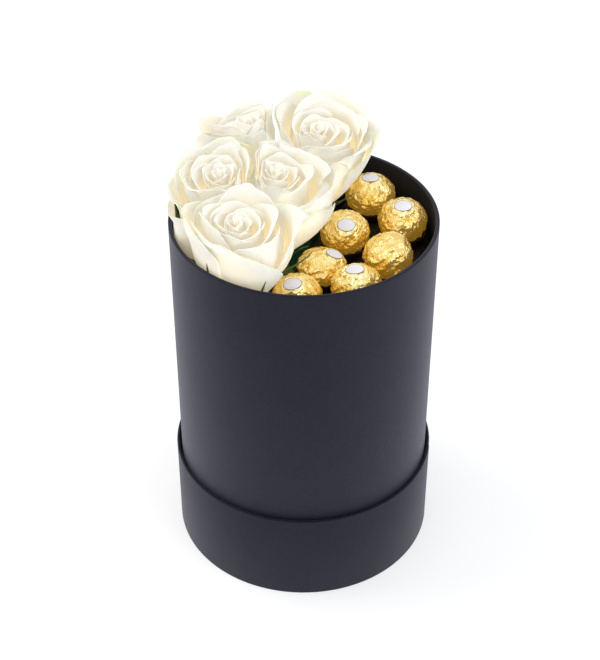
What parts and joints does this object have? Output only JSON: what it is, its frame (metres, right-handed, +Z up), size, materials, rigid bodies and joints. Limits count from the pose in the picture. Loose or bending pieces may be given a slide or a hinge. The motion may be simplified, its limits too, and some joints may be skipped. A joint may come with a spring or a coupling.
{
  "type": "box of roses and chocolates",
  "caption": "Tall round dark card gift box standing in its own lid, holding cream roses in floral foam beside gold foil-wrapped chocolates in pleated paper cups.",
  "frame": {"origin": "centre of the base, on the surface that the box stands on", "axes": "+Z up along the axis of the round box, -Y towards the front seen in the picture, +X towards the chocolates' side"},
  "size_m": [0.1556, 0.1556, 0.266],
  "materials": {
    "navy_paper": "matte",
    "plain_card": "matte",
    "liner_film": "satin",
    "wet_foam": "matte",
    "petals": "satin",
    "green_leaf": "satin",
    "gold_foil": "gloss",
    "cup_paper": "matte",
    "label_paper": "satin"
  },
  "bodies": {
    "root": {"box_lid": "navy_paper", "box_body": "navy_paper", "card_partition": "plain_card", "card_shelf": "plain_card", "card_leg": "plain_card", "foam_liner": "liner_film", "rose_front_bloom": "petals", "rose_front_stem": "green_leaf", "rose_left_bloom": "petals", "rose_left_stem": "green_leaf", "rose_middle_bloom": "petals", "rose_middle_stem": "green_leaf", "rose_back_left_bloom": "petals", "rose_back_left_stem": "green_leaf", "rose_back_right_bloom": "petals", "rose_back_right_stem": "green_leaf", "floral_foam": "wet_foam", "chocolate_a_cup": "cup_paper", "chocolate_a_foil": "gold_foil", "chocolate_a_label": "label_paper", "chocolate_b_cup": "cup_paper", "chocolate_b_foil": "gold_foil", "chocolate_b_label": "label_paper", "chocolate_c_cup": "cup_paper", "chocolate_c_foil": "gold_foil", "chocolate_c_label": "label_paper", "chocolate_d_cup": "cup_paper", "chocolate_d_foil": "gold_foil", "chocolate_d_label": "label_paper", "chocolate_e_cup": "cup_paper", "chocolate_e_foil": "gold_foil", "chocolate_e_label": "label_paper", "chocolate_f_cup": "cup_paper", "chocolate_f_foil": "gold_foil", "chocolate_f_label": "label_paper", "chocolate_g_cup": "cup_paper", "chocolate_g_foil": "gold_foil", "chocolate_g_label": "label_paper"}
  },
  "joints": []
}
